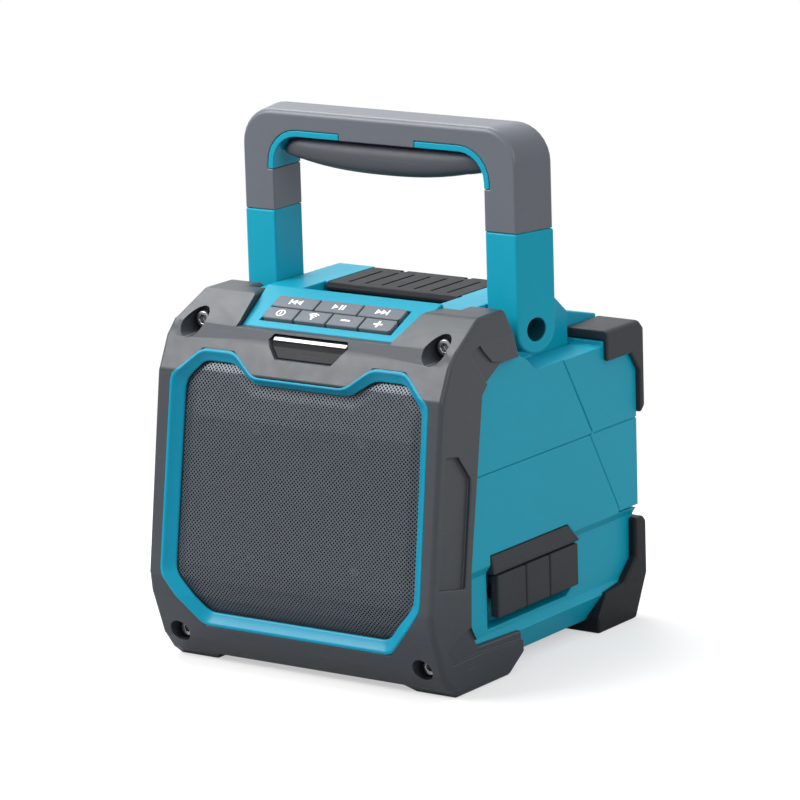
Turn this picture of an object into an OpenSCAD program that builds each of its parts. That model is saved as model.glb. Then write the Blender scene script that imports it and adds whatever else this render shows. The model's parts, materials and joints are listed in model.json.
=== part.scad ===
// Jobsite speaker: bumper-framed body, folding carry handle and a rear battery door.
// Millimetres, Z up, front towards -Y, origin on the ground at the middle of the footprint.

/* [Body] */
// Width over the front bumper frame
body_w = 188; // [180:1:196]
// Depth from the front frame to the rear guards
body_d = 217; // [209:1:225]
// Height of the flat top deck
deck_h = 199; // [193:1:205]
// Moulded wall thickness
wall = 3; // [2.4:0.1:3.6]
// Gap between the ground and the belly of the housing
belly_z = 6.7; // [5.7:0.1:7.7]
// Height of the ledge between the upper and lower side panels
ledge_z = 63.5; // [61:0.5:66]
// Height of the foremost line of the front frame
knee_z = 50; // [46:1:54]

/* [Front] */
// Depth of the trim funnel
trim_depth = 6; // [4.5:0.5:7]
// Width of the trim band seen from the front
trim_band = 6.2; // [4:0.2:8]
// Thickness of the grille sheet
grille_t = 1.5; // [1:0.1:1.6]
// Thickness of the speaker baffle
baffle_t = 4; // [3:0.5:5]
// Head diameter of the front screws
screw_head = 9; // [7:0.5:10]
// Shank diameter of the front screws
screw_d = 5; // [4:0.5:6]
// Width of the screw wells in the shoulders
well_d = 14; // [12:0.5:14.5]
// Width of the screw wells above the feet
low_well_d = 12.5; // [11:0.5:13]

/* [Driver] */
// Outer diameter of the driver frame
driver_d = 104; // [96:1:110]
// Depth of the driver basket
basket_h = 34; // [28:1:40]
// Diameter of the ring magnet
magnet_d = 60; // [50:1:70]
// Thickness of the ring magnet
magnet_h = 14; // [10:1:18]
// Voice coil diameter
coil_d = 25.4; // [20:0.2:28]

/* [Controls] */
// Distance from the side of the frame to the key field
key_inset = 51; // [48:0.5:55]
// Length of the key field along the slope
keys_l = 21.2; // [19.6:0.2:24]
// Height of the keys above the panel
key_proud = 1.6; // [1:0.1:2.2]
// Key travel
key_travel = 0.8; // [0.5:0.1:1]
// Distance from the side of the frame to the latch lever
latch_inset = 50.1; // [48:0.1:55]
// Latch hinge pin diameter
latch_pin_d = 3; // [2:0.5:4]

/* [Ports] */
// Height of the port flaps
flap_h = 24; // [20:0.5:26]
// Thickness of the port flaps
flap_t = 5.5; // [4:0.5:6]
// Depth of the port recess behind the lower panel
recess_t = 9; // [7:0.5:11]

/* [Handle] */
// Height of the raised handle above the deck
handle_h = 97; // [88:1:106]
// Distance from the side of the frame to the inner face of a leg
leg_inset = 24; // [22:0.5:27]
// Width of a leg at its front face
leg_w = 20; // [18:0.5:22]
// Depth of a leg
leg_d = 26; // [23:0.5:28]
// Outward flare of a leg from front to back
leg_flare = 7; // [4:0.5:9]
// Outer corner radius of the handle
top_r = 20; // [16:1:24]
// Corner radius of the hand opening
gap_r = 16; // [12:0.5:18]
// Thickness of the inner accent band
accent_t = 3.4; // [2.6:0.2:4]
// Pivot shaft diameter
pivot_d = 8; // [6:0.5:10]
// Counterbore in the foot of a leg
pivot_bore = 12.6; // [11.6:0.2:14]

/* [Door] */
// Door hinge pin diameter
door_pin_d = 3; // [2:0.5:4]
// Parting gap of the door along the slanting seam
seam = 0.6; // [0.4:0.1:1]

/* [Clearances] */
// General gap between fixed pieces
fit = 0.3; // [0.2:0.05:0.4]
// Radial running fit of pins and shafts
run = 0.05; // [0.03:0.01:0.08]
// Gap between neighbouring keys and flaps
key_gap = 0.8; // [0.6:0.1:1]

/* [Hidden] */
$fn = 64;
bx = body_w/2;
keys_w = body_w - 2*key_inset;
latch_w = body_w - 2*latch_inset;
leg_gap = body_w - 2*leg_inset;
yf = -body_d/2;
yr = body_d/2;
// Half widths of the upper panel, the lower panel, the skid edge and the core between the legs
sx = bx - 4;
lx = bx - 7;
kx = bx - 4.5;
core_x = leg_gap/2 - 1;
// Levels of the front frame
z_a = deck_h - 35.4;
z_b = deck_h - 13.8;
z_sh = deck_h + 2;
z_side = deck_h - 26;
z_pocket = deck_h - 37;
z_step = deck_h - 83;
frame_t = 8;
function fy(z) = lookup(z, [[0, yf + 24], [5, yf + 17.4], [14.3, yf + 10.3], [39.7, yf + 1.2],
    [knee_z, yf], [z_a, yf + 15.8], [z_b - 5, yf + 23.8], [z_b + 2.6, yf + 31.2],
    [z_sh, yf + 56.5]]);
fz = [0, 5, 14.3, 39.7, knee_z, z_a, z_b - 5, z_b + 2.6, z_sh];
lean = atan(15.8/(z_a - knee_z));
function ymain(z) = yf + (z - knee_z)*tan(lean);
// Handle pivot and its neighbours
pv_y = 0;
pv_z = deck_h - 14;
leg_r = leg_d/2;
leg_in = leg_gap/2;
leg_out = leg_in + leg_w;
z_split = pv_z + 54;
sh_y = -leg_r - 14;
arm_y = -leg_r - 5;
// Front screws
up_x = bx - 14;
up_z = deck_h - 12;
up_y = yf + 45.5;
low_x = bx - 13;
low_z = 17.4;
low_y = yf + 22;
foot_x = bx - 27;
step_h = belly_z - 2.3;
// Control panel
pf_y = yf + 37;
pb_y = yf + 71;
pf_z = deck_h - 11.6;
pb_z = deck_h + 4;
pf_x = bx - 42.5;
pb_x = bx - 35.7;
pitch = atan((pb_z - pf_z)/(pb_y - pf_y));
pan_l = (pb_y - pf_y)/cos(pitch);
pan_t = 3;
board_t = 1.6;
key_body = 5;
board_z = -key_body - 2.8;
// Middle of the key field, from the middle of the panel
keys_y = -1.7;
// Finger pocket and latch lever
pocket_x = latch_w/2 + 2;
pocket_z = deck_h - 15;
la_y = 40.5;
la_z = deck_h - 4.5;
la_end = 43;
// Battery bay and door
seam_pts = [[yr - 78.2, z_pocket], [yr - 50.6, z_step], [yr - 52.8, z_step - 2.3],
    [yr - 24.5, ledge_z + 2.2], [yr - 24.5, ledge_z]];
bay_x = core_x - 5;
bay_y = 12;
hump_y = 45;
hump_r = 68;
dr_y = yr - 4.5;
dh_y = yr - 5.5;
dh_z = ledge_z - 0.5;
roof_z = deck_h - 34.8;
mb_x = bay_x - 8;
mb_y0 = bay_y + 6;
mb_y1 = yr - 14.5;
lug_x = 42;
lug_w = 8;
barrel_r = door_pin_d/2 + 2.5;
guard_x = bx - 1;
// Ports
rec_x = lx - recess_t;
fl_z1 = ledge_z - 6.5;
fl_z0 = fl_z1 - flap_h;
fl_x1 = lx + 4.5;
fl_x0 = fl_x1 - flap_t;
fl_y = [-41, -12.8, 10.6, 39.5];
port_z = (fl_z0 + fl_z1)/2 - 1;
aux_y = -27;
dc_y = 25;
// Baffle behind the front face, its opening and the screw circle of the driver
baffle_y = 17;
cut_d = driver_d - 10;
bolt_r = driver_d/2 - 3;
bolt_d = 3;
bolt_hole = 3.6;
// Inner end of the accent bands of the handle
accent_x = 25.3;

// Prism of a (y, z) outline between two x positions
module sidep(pts, x0, x1) {
    translate([x0, 0, 0]) rotate([90, 0, 90]) linear_extrude(x1 - x0) polygon(pts);
}
// Prism of an (x, z) outline between two y positions
module frontp(pts, y0, y1) {
    translate([0, y1, 0]) rotate([90, 0, 0]) linear_extrude(y1 - y0) polygon(pts);
}
// Prism of an (x, y) outline between two heights
module planp(pts, z0, z1) {
    translate([0, 0, z0]) linear_extrude(z1 - z0) polygon(pts);
}
// Box from one corner to the other
module blk(a, b) {
    translate(a) cube(b - a);
}
// Round bar along X and along Y
module rodx(d, x0, x1, y, z) {
    translate([x0, y, z]) rotate([0, 90, 0]) cylinder(d = d, h = x1 - x0);
}
module rody(d, y0, y1, x, z) {
    translate([x, y0, z]) rotate([-90, 0, 0]) cylinder(d = d, h = y1 - y0);
}
module both() {
    children();
    mirror([1, 0, 0]) children();
}
function mir(h) = concat(h, [for (i = [len(h) - 1:-1:0]) [-h[i][0], h[i][1]]]);

// Cross outline of the housing, grown by c, up to height t
function cs(c, t) = mir([[bx - 11 + c, belly_z - c], [kx + c, 20.5], [lx + c, 24.5],
    [lx + c, ledge_z - 4.5], [sx + c, ledge_z], [sx + c, t]]);
// Band that follows the front face between two depths
function levels(z0, z1) = concat(z0, [for (k = fz) if (k > z0 && k < z1) k], z1);
function back(v) = [for (i = [len(v) - 1:-1:0]) v[i]];
function band(d0, d1, z0, z1) = concat([for (z = levels(z0, z1)) [fy(z) + d0, z]],
    [for (z = back(levels(z0, z1))) [fy(z) + d1, z]]);
// Half outlines of the trim, from the notch round to the bottom, drawn in by s
t_top = deck_h - 24;
t_x = bx - 9;
t_mid = (z_a + t_top)/2;
function trim_half(s) = [
    [30.2 + 0.22*s, z_a - 0.7*s],
    [37.9 + 0.05*s, t_mid - (t_mid - z_a)*s/trim_band],
    [45.6 + 0.08*s, t_top - s],
    [t_x - 17.6 - 0.12*s, t_top - s],
    [t_x - 11 - 0.35*s, t_mid - (t_mid - z_a)*s/trim_band],
    [t_x - 4.5 - 0.8*s, z_a - 0.6*s],
    [t_x - 0.5 - s, deck_h - 39 - 0.8*s],
    [t_x + 0.5 - s, knee_z + 4 + 0.1*s],
    [t_x - 1.2 - 1.1*s, knee_z],
    [t_x - 9 - 1.3*s, 39.7],
    [t_x - 23 - 0.35*s, 24.5 + 1.05*s]];

// Frame of the driver: local Z is the outward axis, local 0 the baffle's front
dr_z = 98;
module drv() {
    translate([0, ymain(dr_z) + baffle_y, dr_z]) rotate([90 - lean, 0, 0]) children();
}
// Frame of the control panel: local Z is the panel's normal
module pan() {
    translate([0, (pf_y + pb_y)/2, (pf_z + pb_z)/2]) rotate([pitch, 0, 0]) children();
}

// Grey bumper frame with shoulders, side arms and front feet
module front_bezel() {
    side = concat([for (z = fz) [fy(z), z]], [[sh_y, z_sh], [arm_y, z_side + 0.6],
        [arm_y - 15, z_side + 0.8], [arm_y - 30, z_side - 7.4], [yf + 54.5, z_side - 13],
        [yf + 48, z_side - 54], [yf + 38.8, 59.6], [yf + 37.7, 35.4], [yf + 45.5, 23],
        [yf + 87.2, 21.6], [yf + 87.9, 9.5], [yf + 73, 0]]);
    cav_z = z_side + fit;
    color([0.36, 0.37, 0.39]) difference() {
        union() {
            difference() {
                intersection() {
                    sidep(side, -bx, bx);
                    frontp(mir([[bx, -1], [bx, z_b + 2.6], [bx - 3.2, z_sh + 1]]), yf - 1, 0);
                }
                // Room for the housing
                intersection() {
                    sidep(concat([for (z = [belly_z - fit, 14.3, 39.7, knee_z, z_a, cav_z])
                        [fy(z) + frame_t, z]], [[60, cav_z], [60, belly_z - fit]]), -bx, bx);
                    frontp(cs(fit, cav_z), yf, 60);
                }
                // Room for the boss blocks inside the shoulders
                both() blk([core_x - 3, up_y + 3, z_side - 1],
                    [up_x + 8 + fit, sh_y - 4, up_z + 6.5]);
            }
            both() rody(low_well_d + 3.5, low_y - 8, low_y + 6, low_x, low_z);
        }
        // Opening for the trim, the light window and the control panel
        frontp(mir(trim_half(-fit)), yf - 1, yf + 42);
        frontp(win_pts(fit), yf, yf + 42);
        planp([[-pf_x + 3.5, yf], [pf_x - 3.5, yf], [pf_x, pf_y - fit], [-pf_x, pf_y - fit]], pf_z,
            z_sh + 9);
        planp([[-pf_x - fit, pf_y - fit - 0.01], [pf_x + fit, pf_y - fit - 0.01],
            [pb_x + fit, pb_y], [-pb_x - fit, pb_y]], z_side - 1, z_sh + 9);
        sidep([[fy(z_side) + frame_t, z_side - 1], [fy(z_b) + frame_t, z_b], [pb_y, z_b],
            [pb_y, z_side - 1]], -pf_x + 3, pf_x - 3);
        blk([-core_x - fit, pb_y - 0.01, z_side - 1], [core_x + fit, 0, z_sh + 9]);
        // Screw bores
        both() rody(well_d, yf, up_y, up_x, up_z);
        both() rody(screw_d + 0.4, up_y - 1, up_y + 12, up_x, up_z);
        both() rody(low_well_d, yf, low_y, low_x, low_z);
        both() rody(screw_d + 0.4, low_y - 1, low_y + 12, low_x, low_z);
        // Step between the feet
        frontp([[-foot_x, -1], [foot_x, -1], [foot_x - 5, step_h], [5 - foot_x, step_h]], yf - 1, 0);
        // Moulded relief on the side arms
        both() sidep([[yf + 8.5, 63], [yf + 33.1, 58.2], [yf + 40.5, 111], [yf + 40.7, 117],
            [yf + 29.9, 130.8], [yf + 18.2, 132.5]], bx - 2.2, bx + 1);
        both() sidep([[yf + 43.2, z_b - 0.5], [yf + 52.8, z_b + 1.8], [yf + 56.5, z_b - 2.5],
            [yf + 64.5, z_b - 9.5], [yf + 80, z_b - 13], [yf + 60.5, z_b - 22]], bx - 1.6, bx + 1);
        both() sidep([[yf + 15.2, 26.7], [yf + 19.6, 19.2], [yf + 47.6, 19.4], [yf + 89, 16.6],
            [yf + 89, 25], [yf + 44, 25.5], [yf + 37, 36], [yf + 31.8, 34.3]], bx - 1.5, bx + 1);
    }
}

// Teal bevelled ring round the grille
function ring(h, d) = [for (p = h) [p[0], fy(p[1]) + d, p[1]]];
module trim_ring() {
    o = mir(trim_half(0));
    n = mir(trim_half(trim_band));
    c = len(o);
    pts = concat(ring(o, 0.4), ring(n, trim_depth - 1.2), ring(n, trim_depth), ring(o, trim_depth));
    // The diagonals follow the breaks of the front face
    tri = [for (k = [0:3], i = [0:c - 1], h = [0, 1])
        let (j = (i + 1)%c, u = k*c, v = ((k + 1)%4)*c, turn = (i > 1 && i < c/2) || i > c - 3)
        turn ? (h == 0 ? [u + i, v + i, v + j] : [u + i, v + j, u + j])
            : (h == 0 ? [u + i, v + i, u + j] : [u + j, v + i, v + j])];
    color([0.0, 0.5, 0.6]) polyhedron(pts, tri);
}

// Dark perforated sheet behind the trim
module grille() {
    color([0.22, 0.23, 0.25]) intersection() {
        sidep(band(trim_depth + 0.2, trim_depth + 0.2 + grille_t, 22, t_top), -bx, bx);
        frontp(mir(trim_half(trim_band*0.45)), yf, yf + 60);
    }
}

// Socket-head screws of the front frame
module front_screw() {
    color([0.75, 0.76, 0.78]) difference() {
        union() {
            cylinder(d = screw_head, h = 6);
            translate([0, 0, -17]) cylinder(d = screw_d, h = 17.5);
        }
        translate([0, 0, 3]) cylinder(d = screw_head*0.55, h = 4, $fn = 6);
    }
}
module front_screws() {
    both() translate([up_x, up_y, up_z]) rotate([90, 0, 0]) front_screw();
    both() translate([low_x, low_y, low_z]) rotate([90, 0, 0]) front_screw();
}

// Light window and its bar
function win_pts(c) = mir([[18 + c, deck_h - 24.4 - c], [26 + c, deck_h - 15.5],
    [24 + c, deck_h - 13 + c]]);
module light_window() {
    color([0.08, 0.08, 0.09]) intersection() {
        sidep(band(2.2, 5, deck_h - 26, deck_h - 11), -40, 40);
        frontp(win_pts(0), yf, yf + 60);
    }
}
module light_strip() {
    color([0.95, 0.95, 0.95]) intersection() {
        sidep(band(1.2, 2.2, deck_h - 15.7, deck_h - 14.3), -24, 24);
        frontp(win_pts(-0.6), yf, yf + 60);
    }
}

// Teal body shell
module main_housing() {
    front = [[yf + 33, belly_z], [yf + 33, 28], [ymain(30) + baffle_y + baffle_t + 0.2, 30],
        [ymain(z_side - 5) + baffle_y + baffle_t + 0.2, z_side - 5]];
    side_b = concat(front, [[up_y + 3.3, z_side], [arm_y + 6, z_side], [-4, z_pocket + 6.5],
        [3.4, z_pocket]], seam_pts, [[yr - 11.5, ledge_z], [yr - 11.5, ledge_z - 5.5],
        [dh_y, ledge_z - 5.5], [dh_y, 20], [yr - 16.5, belly_z]]);
    w = wall;
    ix = lx - w;
    color([0.0, 0.48, 0.58]) difference() {
        union() {
            difference() {
                union() {
                    intersection() {
                        sidep(side_b, -bx, bx);
                        frontp(cs(0, z_side), yf, yr);
                    }
                    sidep([[pb_y + fit, z_side - 20], [pb_y + fit, deck_h], [hump_y, deck_h],
                        [hump_r, deck_h - 19], [hump_r, ledge_z - 2], [bay_y, ledge_z - 2]],
                        -core_x, core_x);
                }
                // Speaker chamber and lower compartment
                sidep([[yf, belly_z + w], [yf, z_side - 8], [up_y, z_side - w],
                    [arm_y + 2, z_side - w], [pb_y + 20, deck_h - 19], [8, deck_h - 19],
                    [8, ledge_z - 6.5], [dh_y - w, ledge_z - 8.5], [dh_y - w, 22],
                    [yr - 18, belly_z + w]], 4 - core_x, core_x - 4);
                both() sidep([[yf, belly_z + w], [yf, z_side - 8], [up_y, z_side - w],
                    [arm_y + 2, z_side - w], [-7, z_pocket + 3], [1, z_pocket - w],
                    [yr - 82, z_pocket - w], [yr - 56, z_step], [yr - 57, z_step - 3],
                    [yr - 30, ledge_z - 6], [dh_y - w, ledge_z - 8.5], [dh_y - w, 22],
                    [yr - 18, belly_z + w]], core_x - 4.01, ix);
                // Battery bay, open to the rear
                sidep([[bay_y, ledge_z], [bay_y, deck_h - 13.5], [hump_y - 4, deck_h - 13.5],
                    [hump_r - 3, deck_h - 26], [yr - 20, deck_h - 26], [yr - 20, ledge_z]],
                    -bay_x, bay_x);
            }
            // Tub behind the port recess
            blk([rec_x - 6, -48, fl_z0 - 9], [ix + 0.5, 45.5, ledge_z + 8]);
            // Screw bosses
            both() blk([core_x - 2, up_y + 3.3, z_side - w], [up_x + 8, sh_y - 6, up_z + 6]);
            both() rody(14, yf + 33, yf + 56, low_x - 1, low_z);
            // Door hinge lugs
            both() rodx(2*barrel_r, lug_x, lug_x + lug_w, dh_y, dh_z);
            both() blk([lug_x, dh_y - 1, dh_z - 14], [lug_x + lug_w, dh_y + 3, dh_z]);
            // Ends of the ledge beside the hinge
            both() intersection() {
                blk([core_x, yr - 12, ledge_z - 6], [bx, dh_y - 0.4, ledge_z - 0.6]);
                frontp(cs(0, z_side), yf, yr);
            }
            // Board posts
            both() for (y = [mb_y0 + 8, mb_y1 - 8])
                translate([mb_x - 8, y, belly_z]) cylinder(d = 8, h = 10);
        }
        // Finger pocket and latch recess in the deck
        blk([-pocket_x, pb_y, pocket_z], [pocket_x, 0, deck_h + 9]);
        blk([-latch_w/2 - 0.6, -0.01, deck_h - 10.2], [latch_w/2 + 0.6, la_end + 3.5, deck_h + 9]);
        rodx(latch_pin_d + 2*run, -latch_w/2 - 6, latch_w/2 + 6, la_y, la_z);
        // Handle pivots
        both() rodx(pivot_d + 2*run, core_x - 15, core_x + 1, pv_y, pv_z);
        // Port recess and the holes for the sockets
        sidep([[-45, fl_z0 - 5.5], [33, fl_z0 - 5.5], [42, fl_z0 + 1], [42, fl_z1 + 1],
            [31, ledge_z + 5.3], [-45, ledge_z + 5.3]], rec_x, bx);
        rodx(8.6, rec_x - 7, rec_x + 1, aux_y, port_z);
        blk([rec_x - 7, -8.4, port_z - 3.9], [rec_x + 1, 6.2, port_z + 3.9]);
        rodx(11.6, rec_x - 7, rec_x + 1, dc_y, port_z);
        // Screw and hinge bores
        both() rody(screw_d + 2*run, up_y, up_y + 18, up_x, up_z);
        both() rody(screw_d + 2*run, low_y, low_y + 18, low_x, low_z);
        rodx(door_pin_d + 2*run, -lug_x - lug_w - 1, lug_x + lug_w + 1, dh_y, dh_z);
        both() rodx(2*barrel_r + 1.2, lug_x - 18, lug_x, dh_y, dh_z);
        // Styling groove across the side panels
        both() blk([sx - 0.8, yf + 30, z_step - 1.9], [sx + 1, yr - 52, z_step - 1.1]);
    }
}

// Teal sloping panel that carries the keys
module control_panel() {
    e = pan_l/2;
    color([0.0, 0.52, 0.62]) {
        pan() difference() {
            union() {
                translate([0, 0, -pan_t]) linear_extrude(pan_t)
                    polygon([[-pf_x, -e], [pf_x, -e], [pb_x, e], [-pb_x, e]]);
                for (x = [-keys_w/2 - 4, keys_w/2 + 4], y = [keys_y - 6, keys_y + 5])
                    translate([x, y, board_z]) cylinder(d = 4, h = -board_z - pan_t + 0.5,
                        $fn = 24);
            }
            blk([-keys_w/2 - key_gap/2, keys_y - keys_l/2 - key_gap/2, -9],
                [keys_w/2 + key_gap/2, keys_y + keys_l/2 + key_gap/2, 9]);
        }
        sidep([[pb_y - 3, z_b], [pb_y, z_b], [pb_y, pb_z], [pb_y - 3, pb_z - 2]], -pb_x + 1,
            pb_x - 1);
    }
}

// One key cap: column i of n in row r
module key(i, n, r) {
    p = keys_w/n;
    h = keys_l/2;
    x0 = -keys_w/2 + i*p + key_gap/2;
    y0 = keys_y + r*h - h + key_gap/2;
    color([0.25, 0.26, 0.28]) pan() {
        blk([x0, y0, -key_body], [x0 + p - key_gap, y0 + h - key_gap, key_proud]);
        translate([x0 + p/2, y0 + h/2 - key_gap/2, board_z + key_travel + 0.2])
            cylinder(d = 6, h = -board_z - key_travel - key_body + 0.2, $fn = 32);
    }
}
module button_previous() key(0, 3, 1);
module button_play() key(1, 3, 1);
module button_next() key(2, 3, 1);
module button_power() key(0, 4, 0);
module button_wireless() key(1, 4, 0);
module button_minus() key(2, 4, 0);
module button_plus() key(3, 4, 0);

module keypad_board() {
    color([0.05, 0.25, 0.12]) pan()
        blk([-keys_w/2 - 6.5, keys_y - keys_l/2 - 0.5, board_z - board_t],
            [keys_w/2 + 6.5, keys_y + keys_l/2 - 2.2, board_z]);
}

// Ribbed latch lever on the top deck
module door_latch() {
    color([0.2, 0.21, 0.23]) difference() {
        sidep([[-3.6, la_z + 0.4], [-3.6, deck_h - 2], [-1.4, deck_h], [la_end, deck_h],
            [la_end, la_z], [la_y, la_z - 3.2], [34, deck_h - 6], [2, deck_h - 6]], -latch_w/2,
            latch_w/2);
        for (i = [-3:3]) blk([i*11 - 0.7, 4, deck_h - 1.1], [i*11 + 0.7, 36, deck_h + 1]);
        rodx(latch_pin_d + 2*run, -latch_w, latch_w, la_y, la_z);
        both() blk([20, 39, deck_h - 0.9], [23, la_end + 1, deck_h + 1]);
    }
}
module latch_pin() {
    color([0.7, 0.7, 0.72]) rodx(latch_pin_d, -latch_w/2 - 5.5, latch_w/2 + 5.5, la_y, la_z);
}

// Rear cover behind the slanting seam
module battery_door() {
    s = [for (p = seam_pts) [p[0] + seam, p[1]]];
    side = [[s[0][0], z_pocket - 0.5], s[1], s[2], s[3], [s[4][0], ledge_z + 0.5],
        [dr_y, ledge_z + 0.5], [dr_y, roof_z], [hump_r + 3, roof_z], [hump_r + 2, z_pocket - 0.5]];
    g = core_x - 4.5;
    color([0.0, 0.48, 0.58]) difference() {
        union() {
            difference() {
                union() {
                    sidep(side, -sx, sx);
                    sidep([[hump_r + 1, roof_z - 8], [hump_r + 1, deck_h - 19.2],
                        [dr_y, deck_h - 27.6], [dr_y, roof_z - 8]], -g, g);
                }
                sidep([[10, ledge_z - 5], [dr_y - wall, ledge_z - 5], [dr_y - wall, roof_z - wall],
                    [hump_r + 3, roof_z - wall], [10, z_pocket - 0.5 - wall]], wall - sx,
                    sx - wall);
                sidep([[hump_r, roof_z - 9], [hump_r, deck_h - 22.2], [dr_y - wall, deck_h - 29.6],
                    [dr_y - wall, roof_z - 9]], wall - g, g - wall);
                blk([-core_x - 1, 0, ledge_z - 5], [core_x + 1, hump_r + 1, deck_h]);
            }
            // Hinge barrels
            both() rodx(2*barrel_r, lug_x - 17, lug_x - 0.5, dh_y, dh_z);
            both() blk([lug_x - 17, dr_y - wall, dh_z], [lug_x - 0.5, dr_y, ledge_z + 3]);
        }
        both() rodx(2*barrel_r + 1.2, lug_x - 0.5, lug_x + lug_w + 0.5, dh_y, dh_z);
        rodx(door_pin_d + 2*run, -lug_x - 20, lug_x + 20, dh_y, dh_z);
        both() blk([sx - 0.8, yr - 49, z_step - 1.9], [sx + 1, yr, z_step - 1.1]);
    }
}
module door_pin() {
    color([0.7, 0.7, 0.72]) rodx(door_pin_d, -lug_x - lug_w, lug_x + lug_w, dh_y, dh_z);
}

// Dark corner guards on the door
module rear_guard() {
    t = hump_r + 3;
    o = sx + fit;
    color([0.2, 0.2, 0.21]) {
        sidep([[t, z_pocket - 9], [t, roof_z + 6], [yr - 4, roof_z + 6], [yr, roof_z + 2],
            [yr, z_step + 5], [dr_y + fit, z_step + 1], [dr_y + fit, z_step + 25],
            [yr - 13, z_pocket - 9]], o, guard_x);
        difference() {
            sidep([[t, roof_z + fit], [t, roof_z + 6], [yr - 4, roof_z + 6], [yr, roof_z + 2],
                [yr, z_step + 5], [dr_y + fit, z_step + 1], [dr_y + fit, roof_z + fit]], core_x - 4,
                guard_x);
            frontp([[core_x - 10, z_step - 9], [guard_x - 9, z_step - 9],
                [core_x - 4.01, roof_z - 18], [core_x - 10, roof_z - 18]], dr_y, yr + 1);
        }
    }
}
module rear_guard_right() rear_guard();
module rear_guard_left() mirror([1, 0, 0]) rear_guard();

// Dark lower corner guards with the rear feet
module rear_foot() {
    c = fit;
    color([0.2, 0.2, 0.21]) difference() {
        sidep([[yr - 51.5, 0], [yr - 12, 0], [yr, 24], [yr, ledge_z - 9], [yr - 3, ledge_z - 6],
            [yr - 11, ledge_z - 6], [yr - 11.5, 34.7], [yr - 24, 23.6], [yr - 42.5, 21.8],
            [yr - 51.5, 9]], foot_x, bx - 1.5);
        intersection() {
            frontp(cs(c, ledge_z + 9), yf, yr + 9);
            sidep([[0, belly_z - c], [yr - 16.5 + c, belly_z - c], [dh_y + c, 20 - c],
                [dh_y + c, ledge_z + 9], [0, ledge_z + 9]], -bx, bx);
        }
    }
}
module rear_foot_right() rear_foot();
module rear_foot_left() mirror([1, 0, 0]) rear_foot();

// Port cover: fixed strip and three flaps
module port_bar() {
    color([0.22, 0.22, 0.24]) intersection() {
        sidep([[-44.6, fl_z1 + 1], [41, fl_z1 + 1], [30.6, ledge_z + 5], [-44.6, ledge_z + 5]],
            rec_x + fit, bx);
        frontp([[rec_x, fl_z1], [fl_x1, fl_z1], [fl_x1 + 0.3, fl_z1 + 3.4], [sx + 0.2, ledge_z + 5],
            [rec_x, ledge_z + 5]], -60, 60);
    }
}
module flap(i) {
    color([0.24, 0.24, 0.26]) blk([fl_x0, fl_y[i] + key_gap/2, fl_z0],
        [fl_x1, fl_y[i + 1] - key_gap/2, fl_z1 - 0.2]);
}
module flap_aux() flap(0);
module flap_usb() flap(1);
module flap_power() flap(2);

// Sockets behind the flaps and their board
module aux_jack() {
    color([0.1, 0.1, 0.1]) difference() {
        rodx(8, rec_x - 6.1, rec_x + 2, aux_y, port_z);
        rodx(3.6, rec_x - 4, rec_x + 3, aux_y, port_z);
    }
}
module usb_socket() {
    color([0.75, 0.76, 0.78]) difference() {
        blk([rec_x - 6.1, -8, port_z - 3.5], [rec_x + 2, 5.8, port_z + 3.5]);
        difference() {
            blk([rec_x - 4, -7.3, port_z - 2.8], [rec_x + 3, 5.1, port_z + 2.8]);
            blk([rec_x - 4, -6.2, port_z + 0.2], [rec_x + 1.4, 4, port_z + 2]);
        }
    }
}
module dc_jack() {
    color([0.1, 0.1, 0.1]) difference() {
        rodx(11, rec_x - 6.1, rec_x + 2, dc_y, port_z);
        difference() {
            rodx(5.6, rec_x - 4, rec_x + 3, dc_y, port_z);
            rodx(2, rec_x - 4, rec_x + 1, dc_y, port_z);
        }
    }
}
module port_board() {
    color([0.05, 0.25, 0.12]) blk([rec_x - 6.2 - board_t, -44, fl_z0 - 6],
        [rec_x - 6.2, 41, fl_z1 + 2]);
}
module main_board() {
    color([0.05, 0.25, 0.12]) blk([-mb_x, mb_y0, belly_z + 10.1],
        [mb_x, mb_y1, belly_z + 10.1 + board_t]);
}

// Battery contacts at the front of the bay
module terminal_block() {
    color([0.1, 0.1, 0.1]) difference() {
        blk([-24, bay_y + 0.1, deck_h - 100], [24, bay_y + 8, deck_h - 50]);
        for (x = [-14, 0, 14]) blk([x - 0.7, bay_y + 3, deck_h - 95],
            [x + 0.7, bay_y + 9, deck_h - 75]);
    }
}
module battery_blades() {
    color([0.8, 0.72, 0.4]) for (x = [-14, 0, 14])
        blk([x - 0.5, bay_y + 3.2, deck_h - 94], [x + 0.5, bay_y + 15, deck_h - 76]);
}

// Speaker baffle and driver
module baffle() {
    z0 = 30;
    z1 = z_side - 5;
    color([0.12, 0.12, 0.13]) difference() {
        sidep([[ymain(z0) + baffle_y, z0], [ymain(z1) + baffle_y, z1],
            [ymain(z1) + baffle_y + baffle_t, z1], [ymain(z0) + baffle_y + baffle_t, z0]],
            10 - bx, bx - 10);
        drv() translate([0, 0, -baffle_t - 5]) cylinder(d = cut_d, h = baffle_t + 9);
        drv() for (a = [45:90:315]) rotate(a)
            translate([bolt_r, 0, -9]) cylinder(d = bolt_d + 2*run, h = 12, $fn = 24);
    }
}
b_in = driver_d/2 - 6;
cone_r = b_in - 13;
b_bot = magnet_d/2 - 2;
module driver_gasket() {
    color([0.05, 0.05, 0.05]) drv() difference() {
        translate([0, 0, 0.05]) cylinder(d = driver_d, h = 0.7);
        translate([0, 0, -1]) cylinder(d = cut_d, h = 3);
        for (a = [45:90:315]) rotate(a)
            translate([bolt_r, 0, -1]) cylinder(d = bolt_hole, h = 3, $fn = 24);
    }
}
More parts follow.
